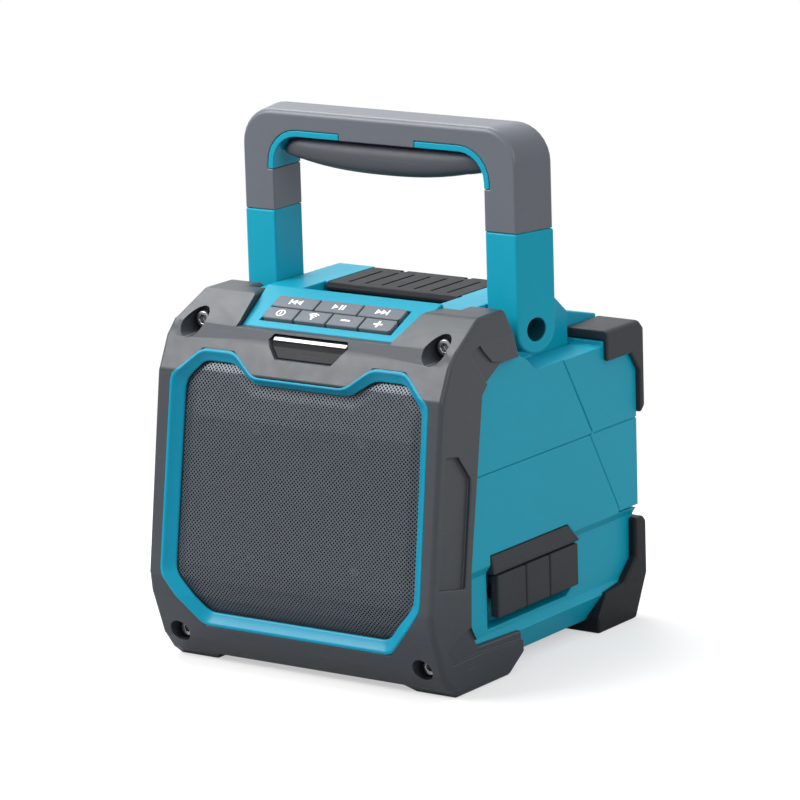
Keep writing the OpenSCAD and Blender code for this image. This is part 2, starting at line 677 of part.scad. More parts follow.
module driver_basket() {
    color([0.15, 0.15, 0.16]) drv() difference() {
        rotate_extrude() polygon([[b_in, 0.8], [driver_d/2, 0.8], [driver_d/2, 2.8],
            [b_in - 1, 2.8], [b_in - 3, 1], [b_bot - 2, 2 - basket_h], [coil_d/2 + 2, 2 - basket_h],
            [coil_d/2 + 2, -basket_h], [b_bot, -basket_h]]);
        for (a = [0:90:270]) rotate(a)
            translate([b_bot + 6, 0, -basket_h*0.36]) cube([30, 30, basket_h*0.42], center = true);
        for (a = [45:90:315]) rotate(a)
            translate([bolt_r, 0, -1]) cylinder(d = bolt_hole, h = 5, $fn = 24);
    }
}
module driver_top_plate() {
    color([0.6, 0.6, 0.62]) drv() translate([0, 0, -basket_h - 4.1]) difference() {
        cylinder(d = magnet_d - 4, h = 4);
        translate([0, 0, -1]) cylinder(d = coil_d + 2.6, h = 6);
    }
}
module driver_magnet() {
    color([0.18, 0.18, 0.19]) drv() translate([0, 0, -basket_h - 4.2 - magnet_h]) difference() {
        cylinder(d = magnet_d, h = magnet_h);
        translate([0, 0, -1]) cylinder(d = coil_d + 10, h = magnet_h + 2);
    }
}
module driver_yoke() {
    color([0.6, 0.6, 0.62]) drv() translate([0, 0, -basket_h - 8.3 - magnet_h]) {
        cylinder(d = magnet_d - 3, h = 4);
        cylinder(d = coil_d - 2.4, h = magnet_h + 8);
    }
}
// Moving parts of the driver
c_z = -basket_h*0.55;
module voice_coil() {
    color([0.75, 0.45, 0.2]) drv() translate([0, 0, -basket_h - 6]) difference() {
        cylinder(d = coil_d + 0.8, h = basket_h + 6 + c_z);
        translate([0, 0, -1]) cylinder(d = coil_d - 0.4, h = basket_h + 9 + c_z);
    }
}
module driver_cone() {
    r0 = coil_d/2 - 0.2;
    r1 = cone_r;
    color([0.1, 0.1, 0.11]) drv() rotate_extrude() polygon([[r0, c_z + 0.1], [r1, -2.4], [r1, -1.4],
        [r0, c_z + 1.3]]);
}
function cone_top(r) = c_z + 1.3 - (c_z + 2.7)*(r - coil_d/2 + 0.2)/(cone_r - coil_d/2 + 0.2);
module driver_dust_cap() {
    r = coil_d/2 + 2;
    color([0.13, 0.13, 0.14]) drv() translate([0, 0, cone_top(r) + 0.2]) rotate_extrude()
        polygon(concat([for (a = [0:9:90]) [r*cos(a), 6*sin(a)]],
            [for (a = [90:-9:0]) [(r - 0.8)*cos(a), 5.2*sin(a)]]));
}
module driver_surround() {
    r1 = cone_r + 0.1;
    m = (r1 + b_in - 4.6)/2;
    q = (b_in - 4.6 - r1)/2;
    color([0.06, 0.06, 0.06]) drv() rotate_extrude() polygon(concat(
        [for (a = [180:-15:0]) [m + q*cos(a), -1.4 + q*0.9*sin(a)]],
        [for (a = [0:15:180]) [m + (q - 0.6)*cos(a), -1.4 + (q*0.9 - 0.6)*sin(a)]]));
}
module driver_spider() {
    r0 = coil_d/2 + 0.6;
    z = c_z - 3;
    r1 = b_bot - 2 + (b_in - 1 - b_bot)*(z + basket_h - 2)/(basket_h - 1) - 0.4;
    color([0.7, 0.6, 0.35]) drv() rotate_extrude() polygon(concat(
        [for (i = [0:12]) [r0 + (r1 - r0)*i/12, z + 0.7*(i%2)]],
        [for (i = [12:-1:0]) [r0 + (r1 - r0)*i/12, z + 0.7*(i%2) + 0.6]]));
}
module driver_screws() {
    color([0.7, 0.7, 0.72]) drv() for (a = [45:90:315]) rotate(a) translate([bolt_r, 0, 2.9]) {
        cylinder(d = 5.4, h = 1.8, $fn = 32);
        translate([0, 0, -6.4]) cylinder(d = bolt_d, h = 6.6, $fn = 24);
    }
}

// Folding handle
hz = deck_h + handle_h;
arc_x = leg_in - gap_r;
arc_z = hz - 11.3 - accent_t - gap_r;
function arc(r, a0, a1) = [for (i = [0:6]) let (a = a0 + (a1 - a0)*i/6)
    [arc_x + r*cos(a), arc_z + r*sin(a)]];
module leg_plan(z0, z1) {
    planp(mir([[leg_out, pv_y - leg_r], [leg_out + leg_flare, pv_y + leg_r]]), z0, z1);
}
module leg_tongue(c) {
    blk([leg_in + 2 - c, pv_y - 8 - c, z_split - 2], [leg_in + 9 + c, pv_y + 8 + c, arc_z + 4 + c]);
}
module handle_frame() {
    accent = concat([[leg_in, arc_z - 3]], arc(gap_r, 0, 90), [[accent_x, arc_z + gap_r],
        [accent_x, arc_z + gap_r + accent_t]], arc(gap_r + accent_t, 90, 0),
        [[leg_in + accent_t, arc_z - 3]]);
    color([0.0, 0.52, 0.62]) difference() {
        union() {
            intersection() {
                both() blk([leg_in, pv_y - leg_r, pv_z - leg_r - 1], [bx + 20, pv_y + leg_r, z_split]);
                leg_plan(0, hz);
                union() {
                    rodx(leg_d, -bx - 20, bx + 20, pv_y, pv_z);
                    blk([-bx - 20, pv_y - leg_r, pv_z], [bx + 20, pv_y + leg_r, hz]);
                }
            }
            both() leg_tongue(0);
            both() frontp(accent, pv_y - leg_r, pv_y + leg_r);
        }
        both() rodx(pivot_d + 2*run, leg_in - 1, leg_in + 9, pv_y, pv_z);
        both() rodx(pivot_bore, leg_in + 8, bx + 20, pv_y, pv_z);
    }
}
// Outer outline of the cover, with its side at o
function cover(o) = mir(concat([[o, z_split + 0.2]], [for (i = [0:8])
    [o - top_r + top_r*cos(i*11.25), hz - top_r + top_r*sin(i*11.25)]]));
module handle_shell() {
    a = 0.2;
    opening = concat([[leg_in, z_split - 1], [leg_in, arc_z - 3 - a],
        [leg_in + accent_t + a, arc_z - 3 - a]], arc(gap_r + accent_t + a, 0, 90),
        [[accent_x - a, arc_z + gap_r + accent_t + a], [accent_x - a, arc_z + gap_r - a]]);
    color([0.3, 0.31, 0.33]) difference() {
        hull() {
            frontp(cover(leg_out), pv_y - leg_r, pv_y - leg_r + 0.01);
            frontp(cover(leg_out + leg_flare), pv_y + leg_r - 0.01, pv_y + leg_r);
        }
        frontp(mir(opening), pv_y - leg_r - 1, pv_y + leg_r + 1);
        both() leg_tongue(a);
    }
}
module handle_grip() {
    h = concat([[0.01, arc_z - 2.8], [30, arc_z - 1.7], [arc_x - 1, arc_z + 2.1]],
        arc(gap_r - 0.3, 25, 90), [[0.01, arc_z + gap_r - 0.5]]);
    color([0.2, 0.2, 0.22]) frontp(mir(h), pv_y - leg_r + 1.5, pv_y + leg_r - 1.5);
}
module handle_pin() {
    color([0.55, 0.56, 0.58]) {
        rodx(pivot_d, core_x - 14, leg_in + 8.5, pv_y, pv_z);
        rodx(pivot_bore - 1.2, leg_in + 8.3, leg_in + 11, pv_y, pv_z);
    }
}
module handle_pin_right() handle_pin();
module handle_pin_left() mirror([1, 0, 0]) handle_pin();

front_bezel();
trim_ring();
grille();
front_screws();
light_window();
light_strip();
main_housing();
control_panel();
button_previous();
button_play();
button_next();
button_power();
button_wireless();
button_minus();
button_plus();
keypad_board();
door_latch();
latch_pin();
battery_door();
door_pin();
rear_guard_right();
rear_guard_left();
rear_foot_right();
rear_foot_left();
port_bar();
flap_aux();
flap_usb();
flap_power();
aux_jack();
usb_socket();
dc_jack();
port_board();
main_board();
terminal_block();
battery_blades();
baffle();
driver_gasket();
driver_basket();
driver_top_plate();
driver_magnet();
driver_yoke();
voice_coil();
driver_cone();
driver_dust_cap();
driver_surround();
driver_spider();
driver_screws();
handle_frame();
handle_shell();
handle_grip();
handle_pin_right();
handle_pin_left();
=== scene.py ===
"""Jobsite speaker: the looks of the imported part.
One section for each piece or group of pieces, in the order in which they are put together."""

import json
import math

import bmesh
import bpy
import numpy as np
from mathutils import Matrix, Vector

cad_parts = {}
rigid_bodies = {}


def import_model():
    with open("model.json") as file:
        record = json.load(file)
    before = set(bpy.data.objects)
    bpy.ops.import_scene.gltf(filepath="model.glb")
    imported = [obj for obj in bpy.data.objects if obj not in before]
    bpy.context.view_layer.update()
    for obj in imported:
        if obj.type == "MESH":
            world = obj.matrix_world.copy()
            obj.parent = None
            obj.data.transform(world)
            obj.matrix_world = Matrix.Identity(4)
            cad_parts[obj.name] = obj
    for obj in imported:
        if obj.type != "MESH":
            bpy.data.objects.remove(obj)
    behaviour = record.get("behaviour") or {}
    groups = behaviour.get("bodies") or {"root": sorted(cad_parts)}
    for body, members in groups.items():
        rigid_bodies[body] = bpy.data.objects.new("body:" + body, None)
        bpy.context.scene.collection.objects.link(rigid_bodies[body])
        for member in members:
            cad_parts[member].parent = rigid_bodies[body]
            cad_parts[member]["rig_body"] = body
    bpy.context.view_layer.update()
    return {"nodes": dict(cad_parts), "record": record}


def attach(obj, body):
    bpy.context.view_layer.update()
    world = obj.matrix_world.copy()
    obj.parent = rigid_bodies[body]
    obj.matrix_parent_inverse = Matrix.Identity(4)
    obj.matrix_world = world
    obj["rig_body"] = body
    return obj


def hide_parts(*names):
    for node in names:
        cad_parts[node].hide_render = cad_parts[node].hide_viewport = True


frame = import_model()

# Camera: a long lens from the front right and a little above the deck.
# Its angles and distance were fitted to the photograph, and it is tipped by under two degrees.
AZIMUTH, ELEVATION, TIP = (math.radians(a) for a in (35.1757, 12.9809, -1.75))
AIM, DISTANCE = Vector((0.0, 0.00249, 0.13545)), 2.661795
LENS, SENSOR = 216.71, 36
back = Vector((math.sin(AZIMUTH) * math.cos(ELEVATION),
               -math.cos(AZIMUTH) * math.cos(ELEVATION),
               math.sin(ELEVATION)))
level = Vector((math.cos(AZIMUTH), math.sin(AZIMUTH), 0.0))
rise = back.cross(level)
right = level * math.cos(TIP) + rise * math.sin(TIP)
up = rise * math.cos(TIP) - level * math.sin(TIP)
turned = Matrix((right, up, back)).transposed().to_4x4()
camera = bpy.data.objects.new("camera", bpy.data.cameras.new("camera"))
bpy.context.scene.collection.objects.link(camera)
camera.data.lens, camera.data.sensor_width = LENS, SENSOR
camera.data.clip_start, camera.data.clip_end = 0.1, 100
camera.matrix_world = Matrix.Translation(AIM + back * DISTANCE) @ turned
bpy.context.scene.camera = camera
bpy.context.scene.view_settings.view_transform = "Standard"

# Housing: the teal body shell, injection moulded in a tough, lightly grained plastic.
# It carries the side panels, the finger pocket in the deck, the battery bay and the skids.
# All the other pieces are screwed, pinned or pressed to it.


class Wire:
    """A socket of a shader tree. Arithmetic on wires adds Math nodes, and add() any other node."""

    def __init__(self, tree, socket=None):
        self.tree, self.socket = tree, socket

    def add(self, kind, settings=None, inputs=None, out=0):
        """Adds a node, sets its settings, then its sockets to values or wires.
        Returns one of its outputs."""
        node = self.tree.nodes.new(kind)
        for key, value in (settings or {}).items():
            setattr(node, key, value)
        for key, value in (inputs or {}).items():
            if isinstance(value, Wire):
                self.tree.links.new(value.socket, node.inputs[key])
            else:
                node.inputs[key].default_value = value
        return Wire(self.tree, node.outputs[out])

    def maths(self, operation, a, b):
        return self.add("ShaderNodeMath", {"operation": operation}, {0: a, 1: b})

    def __add__(self, other):
        return self.maths("ADD", self, other)

    def __sub__(self, other):
        return self.maths("SUBTRACT", self, other)

    def __rsub__(self, other):
        return self.maths("SUBTRACT", other, self)

    def __mul__(self, other):
        return self.maths("MULTIPLY", self, other)

    __radd__, __rmul__ = __add__, __mul__

    def mix(self, share, a, b):
        """The colour a where share is 0 and b where it is 1."""
        return self.add("ShaderNodeMix", {"data_type": "RGBA"}, {0: share, 6: a, 7: b}, out=2)

    def to(self, socket):
        self.tree.links.new(self.socket, socket)


def srgb(r, g, b):
    """Screen colour, 0 to 255, as the linear colour that a shader takes."""
    c = np.array([r, g, b]) / 255
    return (*np.where(c <= 0.04045, c / 12.92, ((c + 0.055) / 1.055) ** 2.4).tolist(), 1.0)


def blank(name):
    """A new material with one Principled shader: the material, the shader and a first wire."""
    material = bpy.data.materials.new(name)
    material.use_nodes = True
    tree = material.node_tree
    tree.nodes.clear()
    shader = tree.nodes.new("ShaderNodeBsdfPrincipled")
    tree.links.new(shader.outputs[0], tree.nodes.new("ShaderNodeOutputMaterial").inputs[0])
    return material, shader, Wire(tree)


# noise scales per metre and the share of the coarser one in the tone, the lie of the scuffs, the
# band of noise in which they show, how they pale and roughen the colour, and the grain's strength
CLOUDS, MOTTLE, CLOUD_SHARE = 14.0, 160.0, 0.6
SCUFF_TURN, SCUFF_SCALE, SCUFF_BAND = (0.3, 0.5, 0.2), (30, 60, 700), (0.64, 0.78)
CHALK_KEEPS, CHALK_ADDS, SCUFF_ROUGH, GRAIN_BUMP = 0.7, 0.12, 0.2, 0.6


def finish(name, colour, tone=0.07, rough=0.45, spread=0.12, grain=0.00002, pitch=0.0004,
           scuff=0.25, **fixed):
    """A moulded, cast or rolled surface. Colour = colour * (1 +- tone) by cloudy and finer noise,
    a little paler along sparse, stretched handling scuffs. Roughness = rough +- spread / 2 by
    noise, and the scuffs add to it. A grain of that depth and pitch, in metres, bumps the surface.
    fixed sets other sockets of the shader."""
    material, shader, wire = blank(name)
    place = wire.add("ShaderNodeTexCoord", out="Object")

    def noise(scale, detail=2.0, where=place):
        return wire.add("ShaderNodeTexNoise",
                        inputs={"Vector": where, "Scale": scale, "Detail": detail})

    cloud, middle, fine = noise(CLOUDS, 3.0), noise(MOTTLE), noise(1 / pitch)
    drawn = wire.add("ShaderNodeMapping", inputs={"Vector": place, "Rotation": SCUFF_TURN,
                                                  "Scale": SCUFF_SCALE})
    marks = wire.add("ShaderNodeMapRange",
                     inputs={"Value": noise(1.0, 3.0, drawn), "From Min": SCUFF_BAND[0],
                             "From Max": SCUFF_BAND[1]})
    worn = marks * (scuff * cloud)
    dark = (*(c * (1 - tone) for c in colour[:3]), 1.0)
    pale = (*(min(1.0, c * (1 + tone)) for c in colour[:3]), 1.0)
    chalk = (*(c * CHALK_KEEPS + CHALK_ADDS for c in colour[:3]), 1.0)
    shade = wire.mix(cloud * CLOUD_SHARE + middle * (1 - CLOUD_SHARE), dark, pale)
    wire.mix(worn, shade, chalk).to(shader.inputs["Base Color"])
    uneven = middle * spread + fine * (spread / 2) + worn * SCUFF_ROUGH
    mean = (spread + spread / 2) / 2
    (uneven + (rough - mean)).to(shader.inputs["Roughness"])
    bump = {"Strength": GRAIN_BUMP, "Distance": grain, "Height": fine}
    wire.add("ShaderNodeBump", inputs=bump).to(shader.inputs["Normal"])
    for socket, value in fixed.items():
        shader.inputs[socket.replace("_", " ")].default_value = value
    return material


def join(piece, body, slot, *nodes):
    """Puts a new piece on its body, in place of its CAD nodes. slot is not used."""
    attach(piece, body)
    if nodes:
        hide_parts(*nodes)
    return piece


def slot_of(node):
    """The record's material slot of a CAD node."""
    return next(s["material_slot"] for s in frame["record"]["subparts"] if s["node"] == node)


# An edge gets a radius where its faces turn by over EDGE_TURN degrees, or by over SOFT_TURN where
# both faces are wider than WIDE_FACE mm. The radius takes at most SHARE of the room to an edge
# that has one too and FREE_SHARE of the room to another. Along edges nearly in line, by INLINE,
# it changes by SLACK of the shorter one at most. LEAST is the least radius that isn't left sharp.
EDGE_TURN, SOFT_TURN, WIDE_FACE = 26, 3, 6
SHARE, FREE_SHARE, INLINE, SLACK, ROUNDS = 0.42, 0.85, -0.5, 0.38, 60
MERGE, FLAT, FRONTWARD = 3e-5, math.radians(0.4), -0.4
NEAR, TINY, LEAST = 1e-3, 1e-9, 0.02


def read(items, field, kind, width=1):
    """One field of all items of a mesh, as an array with that many columns."""
    values = np.empty(len(items) * width, kind)
    items.foreach_get(field, values)
    return values.reshape(-1, width) if width > 1 else values


def dot(a, b):
    """Scalar products of the rows of two arrays."""
    return np.einsum("ij,ij->i", a, b)


def edge_radii(mesh, radius):
    """The radius of every edge in mm, and which edges stay sharp.
    A radius starts as radius(middles, directions) or one number. It is cut back to its share of
    the room across both faces, then to its share of the lengths that the bends at its ends leave,
    and along a chain of edges it changes no faster than the bends allow."""
    count = len(mesh.edges)
    co = read(mesh.vertices, "co", float, 3) * 1000
    ends = read(mesh.edges, "vertices", int, 2)
    loop_edge = read(mesh.loops, "edge_index", int)
    loop_vertex = read(mesh.loops, "vertex_index", int)
    sizes = read(mesh.polygons, "loop_total", int)
    normal = read(mesh.polygons, "normal", float, 3)
    along = co[ends[:, 1]] - co[ends[:, 0]]
    length = np.linalg.norm(along, axis=1)
    along = along / np.maximum(length, TINY)[:, None]

    # for each edge of a face and each corner of that face:
    # how far along the edge and how far across the face the corner lies
    face = np.repeat(np.arange(len(sizes)), sizes)
    start, times = (np.cumsum(sizes) - sizes)[face], sizes[face]
    one = np.repeat(np.arange(len(face)), times)
    other = start[one] + np.arange(len(one)) - np.repeat(np.cumsum(times) - times, times)
    before = np.where(other == start[one], other + times[one] - 1, other - 1)
    own, corner = loop_edge[one], loop_vertex[other]
    sense = np.where(ends[own, 0] == loop_vertex[one], 1, -1)[:, None]
    inward = np.cross(normal[face[one]], along[own]) * sense
    away = co[corner] - co[ends[own, 0]]
    ahead, across = dot(away, along[own]), dot(away, inward)
    reach = np.zeros(len(face))
    np.maximum.at(reach, one, across)
    wide = np.full(count, np.inf)
    np.minimum.at(wide, loop_edge, reach)

    # how far the two faces turn at each edge
    order = np.argsort(loop_edge, kind="stable")
    first = np.searchsorted(loop_edge[order], np.arange(count))
    paired = np.bincount(loop_edge, minlength=count) == 2
    sides = face[order][first], face[order][np.minimum(first + 1, len(face) - 1)]
    turn = np.degrees(np.arccos(np.clip(dot(normal[sides[0]], normal[sides[1]]), -1, 1)))
    sharp = paired & ((turn > EDGE_TURN) | ((turn > SOFT_TURN) & (wide > WIDE_FACE)))

    # the wanted radius, within the room across the faces
    middles = (co[ends[:, 0]] + co[ends[:, 1]]) / 2
    wanted = radius(middles, along) if callable(radius) else np.full(count, float(radius))
    wanted = np.where(sharp, wanted, 0.0)
    facing = (ahead > -NEAR) & (ahead < length[own] + NEAR) & (across > NEAR)
    for near in (loop_edge[other], loop_edge[before]):
        apart = facing & ~(ends[near][:, :, None] == ends[own][:, None]).any((1, 2))
        a, b, room = near[apart], own[apart], across[apart]
        np.minimum.at(wanted, a, np.where(sharp[b], SHARE, FREE_SHARE) * room)
        np.minimum.at(wanted, b, np.where(sharp[a], SHARE, FREE_SHARE) * room)

    # two edges that meet at a vertex limit each other by their lengths and by the bend
    half = np.argsort(ends.ravel(), kind="stable")
    vertex, edge = ends.ravel()[half], half // 2
    leaving = along[edge] * (1 - 2 * (half % 2))[:, None]
    pairs = []
    for step in range(1, int(np.bincount(vertex).max())):
        near = np.nonzero(vertex[:-step] == vertex[step:])[0]
        a, b = edge[near], edge[near + step]
        cosine = dot(leaving[near], leaving[near + step])
        bend = np.sqrt(np.maximum(1 + cosine, 0) / np.maximum(1 - cosine, TINY)) + 1e-6
        both = sharp[a] & sharp[b]
        shorter = np.where(both, np.minimum(length[a], length[b]), np.inf)
        np.minimum.at(wanted, a, SHARE * np.minimum(shorter, length[b]) / bend)
        np.minimum.at(wanted, b, SHARE * np.minimum(shorter, length[a]) / bend)
        keep = both & (cosine < INLINE)
        sine = np.sqrt(np.maximum(1 - cosine[keep] ** 2, 0))
        pairs.append((a[keep], b[keep], SLACK * shorter[keep] * sine))
    a, b, slack = (np.concatenate(v) for v in zip(*pairs))
    for _ in range(ROUNDS):
        np.minimum.at(wanted, a, wanted[b] + slack)
        np.minimum.at(wanted, b, wanted[a] + slack)
    return wanted, sharp & (turn > EDGE_TURN) & (wanted < LEAST)


def moulded(node, material, radius, segments=3, levels=()):
    """A copy of a CAD piece with the edge radii that its mould gives it.
    The triangles are merged into flat faces, edge_radii() gives each edge its radius, and a Bevel
    modifier cuts them. levels are heights, in mm, where the front faces are split, so that their
    shading turns only between them."""
    source = frame["nodes"][node]
    mesh = source.data.copy()
    mesh.materials.clear()
    form = bmesh.new()
    form.from_mesh(mesh)
    bmesh.ops.remove_doubles(form, verts=form.verts, dist=MERGE)
    bmesh.ops.dissolve_limit(form, angle_limit=FLAT, verts=form.verts, edges=form.edges)
    for z in levels:
        faces = [f for f in form.faces if f.normal.y < FRONTWARD]
        parts = {e for f in faces for e in f.edges} | {v for f in faces for v in f.verts}
        bmesh.ops.bisect_plane(form, geom=faces + list(parts), plane_co=(0, 0, z / 1000),
                               plane_no=(0, 0, 1))
    form.to_mesh(mesh)
    form.free()
    for name in [a.name for a in mesh.attributes if a.name in ("custom_normal", "sharp_face")]:
        mesh.attributes.remove(mesh.attributes[name])
    wanted, sharp = edge_radii(mesh, radius)
    widest = max(float(wanted.max()), NEAR)
    weights = mesh.attributes.new("bevel_weight_edge", "FLOAT", "EDGE")
    weights.data.foreach_set("value", (wanted / widest).astype(np.float32))
    if "sharp_edge" not in mesh.attributes:
        mesh.attributes.new("sharp_edge", "BOOLEAN", "EDGE")
    mesh.attributes["sharp_edge"].data.foreach_set("value", sharp)
    mesh.polygons.foreach_set("use_smooth", np.ones(len(mesh.polygons), bool))
    piece = bpy.data.objects.new(node + "_form", mesh)
    bpy.context.scene.collection.objects.link(piece)
    mesh.materials.append(material)
    bevel = piece.modifiers.new("edges", "BEVEL")
    bevel.limit_method, bevel.width, bevel.segments = "WEIGHT", widest / 1000, segments
    bevel.use_clamp_overlap = False
    piece.modifiers.new("normals", "WEIGHTED_NORMAL").keep_sharp = True
    return join(piece, source["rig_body"], slot_of(node), node)


TEAL = srgb(8, 150, 176)
teal = finish("teal_plastic", TEAL, rough=0.42, Specular_IOR_Level=0.22)
moulded("main_housing", teal, radius=0.8, segments=2)

# Boards and sockets: printed boards with the headphone, charging and supply sockets soldered to
# the small one behind the port recess. They are screwed inside the housing. The brass battery
# contacts are moulded into a block at the front of the bay.


def dress(material, *nodes):
    """Gives CAD pieces that keep their own mesh a material."""
    for node in nodes:
        frame["nodes"][node].data.materials.clear()
        frame["nodes"][node].data.materials.append(material)


TRACKS, GLAZE = 180.0, 300.0
board, shader, wire = blank("printed_board")
place = wire.add("ShaderNodeTexCoord", out="Object")
lacquer = wire.add("ShaderNodeTexBrick", {"offset": 0.37}, {
    "Vector": place, "Scale": TRACKS, "Mortar Size": 0.05, "Color1": srgb(18, 62, 40),
    "Color2": srgb(20, 70, 44), "Mortar": srgb(52, 104, 66)})
lacquer.to(shader.inputs["Base Color"])
glaze = wire.add("ShaderNodeTexNoise", inputs={"Vector": place, "Scale": GLAZE})
(glaze * 0.2 + 0.25).to(shader.inputs["Roughness"])
dress(board, "main_board", "port_board", "keypad_board")
SMOOTH = 0.000004
black = finish("black_plastic", srgb(26, 26, 28), rough=0.4)
dress(black, "aux_jack", "dc_jack", "terminal_block", "baffle")
steel = finish("plated_steel", srgb(196, 198, 202), tone=0.05, rough=0.3, scuff=0.1, grain=SMOOTH,
               Metallic=1.0)
dress(steel, "usb_socket", "driver_top_plate", "driver_yoke", "driver_screws", "door_pin",
      "latch_pin")
brass = finish("brass", srgb(200, 168, 98), rough=0.3, grain=SMOOTH, Metallic=1.0)
dress(brass, "battery_blades")

# Driver: a full-range unit, screwed to a moulded baffle and seen dimly through the grille.
# Pressed basket, ferrite ring magnet, paper cone with a rubber surround and a cloth spider,
# and a copper-coloured coil glued to the cone's neck.
basket = finish("pressed_basket", srgb(40, 41, 44), rough=0.45, Metallic=0.6)
dress(basket, "driver_basket")
ferrite = finish("ferrite", srgb(52, 52, 55), rough=0.6, spread=0.2, grain=0.00003)
dress(ferrite, "driver_magnet")
cone_paper = finish("cone_paper", srgb(44, 44, 46), tone=0.15, rough=0.75, grain=0.00006,
                    pitch=0.0012)
dress(cone_paper, "driver_cone", "driver_dust_cap")
surround = finish("surround_rubber", srgb(24, 24, 26), rough=0.5)
dress(surround, "driver_surround", "driver_gasket")
spider = finish("spider_cloth", srgb(176, 150, 92), tone=0.15, rough=0.85, grain=0.00008,
                pitch=0.0008)
dress(spider, "driver_spider")
dress(finish("coil_wire", srgb(186, 110, 60), rough=0.35, Metallic=1.0), "voice_coil")

# Grille: one steel sheet, punched with close staggered rows of small diamond holes and painted
# dark grey. It is pressed forward between two creases and slopes back to the trim, which clamps
# its edge.

# the profile of the front face: height and depth, in mm as all sizes of shapes are
FRONT = np.array([[0, -84.5], [5, -91.1], [14.3, -98.2], [39.7, -107.3], [50, -108.5],
                  [163.6, -92.7], [180.2, -84.7], [187.8, -77.3], [201, -52]])
# half of the trim's outline from the foot of the notch: x, z and their change per mm of inset
TRIM = np.array([[30.2, 163.6, 0.22, -0.7], [37.9, 169.3, 0.05, -0.92], [45.6, 175, 0.08, -1],
                 [67.4, 175, -0.12, -1], [74, 169.3, -0.35, -0.92], [80.5, 163.6, -0.8, -0.6],
                 [84.5, 160, -1, -0.8], [85.5, 54, -1, 0.1], [83.8, 50, -1.1, 0],
                 [76, 39.7, -1.3, 0], [62, 24.5, -0.35, 1.05]])
# width of the trim, depth of the mesh behind the front face, pitch, half width of a hole, thickness
BAND, MESH_DEPTH, PITCH, HOLE, SHEET = 6.2, 6.2, 2.32, 0.7, 0.8
# heights of the creases and of the slopes beyond them, how far the sheet stands forward and drops
CREASES, FALLS, STAND, DROP = (58, 139), (25, 31), 1.4, 1.2
# cells to each side and up, overlap under the trim, width of the step, grid that welds the cells
COLUMNS, ROWS, TUCK, SWELL, WELD = 40, 200, 2.0, 8, 0.02


def front_y(z):
    """Depth of the front face at height z, along its broken profile."""
    return np.interp(z, FRONT[:, 0], FRONT[:, 1])


def trim_outline(s):
    """Closed outline (x, z) of the trim, counter-clockwise from the right of the notch's foot,
    drawn in by s."""
    half = TRIM[:, :2] + s * TRIM[:, 2:]
    return np.concatenate([half, half[::-1] * (-1, 1)])[::-1]


def depth_inside(points, outline):
    """Signed distance of (x, z) points from an outline: above 0 inside it."""
    a, b = outline, np.roll(outline, -1, 0)
    side, rel = b - a, points[:, None] - a
    t = np.einsum("ijk,jk->ij", rel, side) / np.einsum("jk,jk->j", side, side)
    gap = np.linalg.norm(rel - np.clip(t, 0, 1)[..., None] * side, axis=2).min(1)
    spans = (a[:, 1] > points[:, 1:]) != (b[:, 1] > points[:, 1:])
    climb = np.where(side[:, 1] == 0, TINY, side[:, 1])
    cross = a[:, 0] + (points[:, 1:] - a[:, 1]) * side[:, 0] / climb
    return np.where((spans & (points[:, :1] < cross)).sum(1) % 2 == 1, gap, -gap)


def solid(name, points, faces, material, smooth=False):
    """A mesh object at the origin from points in mm and lists of faces."""
    mesh = bpy.data.meshes.new(name)
    mesh.from_pydata(np.asarray(points) / 1000, [], [list(map(int, f)) for f in faces])
    mesh.polygons.foreach_set("use_smooth", np.full(len(mesh.polygons), smooth))
    mesh.materials.append(material)
    piece = bpy.data.objects.new(name, mesh)
    bpy.context.scene.collection.objects.link(piece)
    return piece


def punched_sheet():
    """Diamond cells in staggered rows fill the outline, each a ring from the cell's edge to its
    hole. Sheet point (x, t) lies at x and at length t up the front profile. Between the creases
    the sheet stands forward by a smooth step over the SWELL mm inside the trim, and beyond them
    it falls back in straight slopes. Front and back skins are joined by the walls of the holes
    and of the border."""
    run = np.concatenate([[0], np.cumsum(np.hypot(*np.diff(FRONT, axis=0).T))])
    column, row = np.meshgrid(np.arange(-COLUMNS, COLUMNS + 1), np.arange(0, ROWS))
    x, t = (column + 0.5 * (row % 2)) * PITCH, row * PITCH / 2
    centre = np.stack([x.ravel(), t.ravel()], 1)
    inner_edge = trim_outline(BAND)
    height = np.interp(centre[:, 1], run, FRONT[:, 0])
    inside = depth_inside(np.stack([centre[:, 0], height], 1), inner_edge) > -TUCK
    centre = centre[inside][:, None]
    corner = np.array([[1, 0], [0, 1], [-1, 0], [0, -1]])
    flat = np.concatenate([centre + corner * PITCH / 2, centre + corner * HOLE], 1)
    cells = np.round(flat.reshape(-1, 2) / WELD).astype(int)
    keys, index = np.unique(cells, axis=0, return_inverse=True)
    index = index.reshape(-1, 8)
    point = np.empty((len(keys), 2))
    point[index.ravel()] = flat.reshape(-1, 2)
    z = np.interp(point[:, 1], run, FRONT[:, 0])
    step = np.clip(depth_inside(np.stack([point[:, 0], z], 1), inner_edge) / SWELL, 0, 1)
    slope = (np.clip((CREASES[0] - z) / FALLS[0], 0, 1)
             + np.clip((z - CREASES[1]) / FALLS[1], 0, 1))
    forward = STAND * step * step * (3 - 2 * step) * (1 - slope)
    front = np.stack([point[:, 0], front_y(z) + MESH_DEPTH - forward + DROP * slope, z], 1)
    outer, inner = index[:, :4], index[:, 4:]
    rings = outer, np.roll(outer, -1, 1), np.roll(inner, -1, 1), inner
    a, b, c, d = (ring.ravel() for ring in rings)
    n = len(front)
    rim = ~np.isin(a * n + b, b * n + a)
    faces = np.concatenate([np.stack([a, b, c, d], 1), np.stack([d, c, b, a], 1) + n,
                            np.stack([d, c, c + n, d + n], 1),
                            np.stack([b, a, a + n, b + n], 1)[rim]])
    return np.concatenate([front, front + (0, SHEET, 0)]), faces


